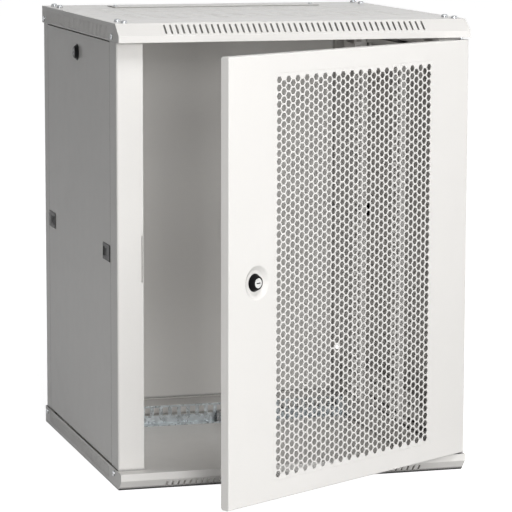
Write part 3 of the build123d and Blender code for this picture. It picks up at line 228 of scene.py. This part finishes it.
def plated(name, colour, rough):
    """Plated steel of screws, cams and pins: brushed drift and light scratches."""
    material = new_material(name)
    tree = material.node_tree
    drift = spread(tree, noise(tree, scale=90.0, detail=3.0), 0.0, 1.0)
    tone = blend_colours(tree, drift, colour, shade(colour, 0.78))
    stretched = put(tree, "Mapping", {"Vector": place(tree), "Scale": (3.0, 3.0, 0.25)})
    scratch = noise(tree, scale=900.0, detail=2.0, at=stretched.outputs["Vector"])
    bump = put(tree, "Bump", {"Height": scratch, "Strength": 0.15, "Distance": SCRATCH_RELIEF})
    shader = put(tree, "BsdfPrincipled", {
        "Base Color": tone,
        "Metallic": 1.0,
        "Roughness": spread(tree, scratch, rough - 0.06, rough + 0.08),
        "Normal": bump.outputs["Normal"],
    })
    finish_tree(tree, shader.outputs["BSDF"])
    return material


def moulded(name, colour, rough, gloss):
    """Black moulded plastic, fine grain and handling marks."""
    material = new_material(name)
    tree = material.node_tree
    drift = spread(tree, noise(tree, scale=60.0, detail=3.0), 0.0, 1.0)
    tone = blend_colours(tree, drift, colour, shade(colour, 1.7))
    grain = noise(tree, scale=1500.0, detail=2.0)
    bump = put(tree, "Bump", {"Height": grain, "Strength": 0.10, "Distance": GRAIN_RELIEF})
    shader = put(tree, "BsdfPrincipled", {
        "Base Color": tone,
        "Roughness": spread(tree, noise(tree, scale=140.0, detail=4.0), rough - 0.05, rough + 0.08),
        "Specular IOR Level": gloss,
        "Normal": bump.outputs["Normal"],
    })
    finish_tree(tree, shader.outputs["BSDF"])
    return material


def lock_face(name, colour, rough, turn, reach):
    """Plated end of a lock's plug, with painted shade in the key slot and below the face: black and not metallic
    there.

    The face lies across the joint's axis at rest, reach ahead of the joint.
    """
    material = plated(name, colour, rough)
    tree = material.node_tree
    shader = next(n for n in tree.nodes if n.type == "BSDF_PRINCIPLED")
    out = Vector(joint[turn]["axis"])
    level = out.dot(Vector(joint[turn]["pos_m"])) + reach
    along = put(tree, "VectorMath", {0: place(tree), 1: out}, operation="DOT_PRODUCT")
    black, bright = KEY_SLOT_SHADE_EDGE
    # Painted shade: deeper than the face, the plug turns black and not metallic.
    outside_slot_shade = spread(tree, along.outputs["Value"], 0.0, 1.0, level - black, level - bright)
    finish = shader.inputs["Base Color"].links[0].from_socket
    tone = blend_colours(tree, outside_slot_shade, KEY_SLOT_SHADE_COLOUR, finish)
    tree.links.new(tone, shader.inputs["Base Color"])
    tree.links.new(outside_slot_shade, shader.inputs["Metallic"])
    return material


PAINT = powder_coat("light_grey_powder_coat", linear(229, 227, 224), 0.22, 0.035)
GALVANISED = galvanised("galvanised_spangle", linear(206, 212, 215))
STEEL = plated("zinc_plate", linear(168, 170, 172), 0.24)
BLACK = moulded("black_moulding", linear(12, 12, 13), 0.32, 0.06)
BY_SLOT = {
    "light_grey_paint": PAINT,
    "galvanised_sheet": GALVANISED,
    "zinc_plated_steel": STEEL,
    "black_plastic": BLACK,
}
DOOR_PLUG = linear(206, 206, 204)
# Painted shade: the side locks' plugs are a darker copy of the plug plating, standing in for the shade on their
# side-facing ends.
SIDE_PLUG_SHADED = linear(74, 74, 76)
BY_NODE = {
    "door_lock_plug": lock_face("door_plug", DOOR_PLUG, 0.22, "door_lock_turn", DOOR_PLUG_REACH),
}
for side in ("left", "right"):
    BY_NODE["side_lock_plug_" + side] = lock_face(
        "side_plug_" + side, SIDE_PLUG_SHADED, 0.34, "side_lock_turn_" + side, SIDE_PLUG_REACH)
for part in frame["record"]["subparts"]:
    mesh = nodes[part["node"]].data
    mesh.materials.clear()
    mesh.materials.append(BY_NODE.get(part["node"]) or BY_SLOT[part["material_slot"]])


# --- Perforated sheet -----------------------------------------------------------------------
def grille_mesh(middle_z):
    """Sheet with hexagonal holes, as honeycomb cells inside a rectangular border, door closed."""
    front, back = GRILLE_FACE_Y, GRILLE_FACE_Y + GRILLE_SHEET
    radius = HEX_FLATS / sqrt(3)
    mesh = bmesh.new()
    corners = {}
    cell = [(2, 0), (1, 1), (-1, 1), (-2, 0), (-1, -1), (1, -1)]

    def corner(across, up):
        """Cell corner on a lattice of a third of a column by half a row."""
        if (across, up) not in corners:
            x = GRILLE_X + (across / 3 - (COLUMNS - 1) / 2) * COLUMN_PITCH
            z = middle_z + up / 2 * ROW_PITCH
            corners[across, up] = (mesh.verts.new((x, front, z)), mesh.verts.new((x, back, z)))
        return corners[across, up]

    for column in range(COLUMNS):
        x = GRILLE_X + (column - (COLUMNS - 1) / 2) * COLUMN_PITCH
        rows = TALL_ROWS - column % 2
        for row in range(rows):
            level = 2 * row - (rows - 1)
            z = middle_z + level / 2 * ROW_PITCH
            outer = [corner(3 * column + across, level + up) for across, up in cell]
            hole = []
            for step in range(6):
                hx, hz = x + radius * cos(step * pi / 3), z + radius * sin(step * pi / 3)
                hole.append((mesh.verts.new((hx, front, hz)), mesh.verts.new((hx, back, hz))))
            for step in range(6):
                after = (step + 1) % 6
                a, b, c, d = outer[step], outer[after], hole[after], hole[step]
                mesh.faces.new((a[0], b[0], c[0], d[0]))
                mesh.faces.new((a[1], d[1], c[1], b[1]))
                mesh.faces.new((d[0], c[0], c[1], d[1]))
    add_border(mesh, corners, middle_z)
    bmesh.ops.recalc_face_normals(mesh, faces=mesh.faces)
    return mesh


def encloses(loop, point):
    """Whether a closed loop of flat points goes round a point."""
    inside = False
    for a, b in zip(loop, loop[1:] + loop[:1]):
        if (a.y > point.y) != (b.y > point.y):
            crossing = a.x + (b.x - a.x) * (point.y - a.y) / (b.y - a.y)
            if point.x < crossing:
                inside = not inside
    return inside


def add_border(mesh, corners, middle_z):
    """Plain sheet between the ragged edge of the cells and the window."""
    partner = {pair[0]: pair[1] for pair in corners.values()}
    edges = [e for e in mesh.edges if e.is_boundary and all(vert in partner for vert in e.verts)]
    ring = list(edges[0].verts)
    links = {}
    for edge in edges:
        for vert in edge.verts:
            links.setdefault(vert, []).append(edge.other_vert(vert))
    while True:
        onward = [v for v in links[ring[-1]] if v is not ring[-2]]
        if onward[0] is ring[0]:
            break
        ring.append(onward[0])
    half_w, half_h = GRILLE_HALF
    frame_pairs = []
    for sx, sz in ((-1, -1), (1, -1), (1, 1), (-1, 1)):
        x, z = GRILLE_X + sx * half_w, middle_z + sz * half_h
        depths = (GRILLE_FACE_Y, GRILLE_FACE_Y + GRILLE_SHEET)
        frame_pairs.append(tuple(mesh.verts.new((x, y, z)) for y in depths))
    pairs = frame_pairs + [(vert, partner[vert]) for vert in ring]
    flat = [Vector((pair[0].co.x, pair[0].co.z)) for pair in pairs]
    loops = (range(4), range(4, len(pairs)))
    edges = [(i, i + 1 if i + 1 < loop.stop else loop.start) for loop in loops for i in loop]
    loop = flat[4:]
    for a, b, c in delaunay_2d_cdt(flat, edges, [], 0, WELD)[2]:
        if encloses(loop, (flat[a] + flat[b] + flat[c]) / 3):
            continue
        mesh.faces.new((pairs[a][0], pairs[b][0], pairs[c][0]))
        mesh.faces.new((pairs[c][1], pairs[b][1], pairs[a][1]))
    for step in range(4):
        a, b = frame_pairs[step], frame_pairs[(step + 1) % 4]
        mesh.faces.new((a[0], b[0], b[1], a[1]))


def make_grille():
    """Builds the perforated sheet where the stored-open door holds it."""
    low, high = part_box("door_grille")
    built = grille_mesh((low[2] + high[2]) / 2)
    swing = joint["door_swing"]
    hinge = Vector(swing["pos_m"])
    turn = Matrix.Rotation(radians(-swing["range_deg"][0]), 4, "Z")
    built.transform(Matrix.Translation(hinge) @ turn @ Matrix.Translation(-hinge))
    data = bpy.data.meshes.new("perforated_sheet")
    built.to_mesh(data)
    built.free()
    data.materials.append(PAINT)
    piece = bpy.data.objects.new("perforated_sheet", data)
    scene.collection.objects.link(piece)
    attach(piece, "door")
    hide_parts("door_grille")


make_grille()


# --- Floor, light and camera ----------------------------------------------------------------
def make_floor():
    """Wide pale matte floor. It looks white where it is seen and keeps the part's shadow."""
    built = bmesh.new()
    bmesh.ops.create_grid(built, x_segments=8, y_segments=8, size=FLOOR_HALF)
    data = bpy.data.meshes.new("studio_floor")
    built.to_mesh(data)
    built.free()
    floor = bpy.data.objects.new("studio_floor", data)
    floor.location = (0, 0, -FLOOR_DROP)
    scene.collection.objects.link(floor)
    material = new_material("pale_floor")
    tree = material.node_tree
    grain = spread(tree, noise(tree, scale=6.0, detail=2.0), 0.0, 1.0)
    tone = blend_colours(tree, grain, (0.64, 0.64, 0.64), (0.61, 0.61, 0.61))
    matte = put(tree, "BsdfDiffuse", {"Color": tone}).outputs["BSDF"]
    reach = put(tree, "VectorMath", {0: place(tree)}, operation="LENGTH").outputs["Value"]
    glow = spread(tree, reach, *FLOOR_GLOW, *GLOW_REACH)
    lift = put(tree, "Emission", {"Color": (1, 1, 1, 1), "Strength": glow}).outputs["Emission"]
    bright = put(tree, "AddShader")
    tree.links.new(matte, bright.inputs[0])
    tree.links.new(lift, bright.inputs[1])
    pick = put(tree, "MixShader", {"Fac": seen(tree)})
    tree.links.new(matte, pick.inputs[1])
    tree.links.new(bright.outputs["Shader"], pick.inputs[2])
    finish_tree(tree, pick.outputs["Shader"])
    data.materials.append(material)


def seen(tree):
    """1 for rays from the camera, and for rays that a shiny or clear surface sends on."""
    path = put(tree, "LightPath").outputs
    shown = path["Is Camera Ray"]
    for kind in ("Is Glossy Ray", "Is Transmission Ray"):
        shown = put(tree, "Math", {0: shown, 1: path[kind]}, operation="MAXIMUM").outputs[0]
    return shown


def make_world():
    """White where it is seen and dark as light, so only the lamps light."""
    world = bpy.data.worlds.new("studio")
    world.use_nodes = True
    tree = world.node_tree
    tree.nodes.clear()
    output = put(tree, "OutputWorld")
    dark = put(tree, "Background", {"Color": (1, 1, 1, 1), "Strength": 0.0}).outputs["Background"]
    white = put(tree, "Background", {"Color": (1, 1, 1, 1), "Strength": 1.0}).outputs["Background"]
    pick = put(tree, "MixShader", {"Fac": seen(tree)})
    tree.links.new(dark, pick.inputs[1])
    tree.links.new(white, pick.inputs[2])
    tree.links.new(pick.outputs["Shader"], output.inputs["Surface"])
    scene.world = world


def softbox(name, at, target, size, power):
    """Rectangular area lamp that points at a target, with its power in watts."""
    lamp = bpy.data.lights.new(name, "AREA")
    lamp.shape = "RECTANGLE"
    lamp.size, lamp.size_y = size
    lamp.energy = power
    holder = bpy.data.objects.new(name, lamp)
    holder.location = at
    holder.rotation_euler = (Vector(target) - Vector(at)).to_track_quat("-Z", "Y").to_euler()
    scene.collection.objects.link(holder)


def make_camera():
    """Camera at the solved place, with a long lens."""
    data = bpy.data.cameras.new("camera")
    data.sensor_width = SENSOR_MM
    data.lens = LENS_MM
    data.clip_end = VIEW_REACH
    camera = bpy.data.objects.new("camera", data)
    camera.location = CAMERA_PLACE
    camera.rotation_euler = Euler([radians(angle) for angle in CAMERA_TURN])
    scene.collection.objects.link(camera)
    scene.camera = camera


make_floor()
make_world()
softbox("front_left", at=(-0.7, -4.6, 1.0), target=(0, 0, 0.4), size=(0.8, 1.2), power=78)
softbox("high", at=(0.1, -2.4, 3.4), target=(0, 0, 0.4), size=(1.8, 1.4), power=66)
softbox("far_right", at=(4.6, -1.6, 1.4), target=(0, 0, 0.4), size=(2.0, 2.0), power=54)
softbox("front", at=(0.15, -4.4, 2.0), target=(0, 0, 0.5), size=(1.6, 1.6), power=33)
softbox("right", at=(2.6, -3.8, 2.6), target=(0, 0, 0.4), size=(1.8, 1.8), power=11)
softbox("near_camera", at=(-1.8, -4.4, 1.2), target=(0, 0, 0.4), size=(1.2, 1.4), power=8)
softbox("top", at=(0, 0.2, 3.4), target=(0, 0, 0.7), size=(2.4, 2.4), power=7)
make_camera()
scene.view_settings.view_transform = "Standard"
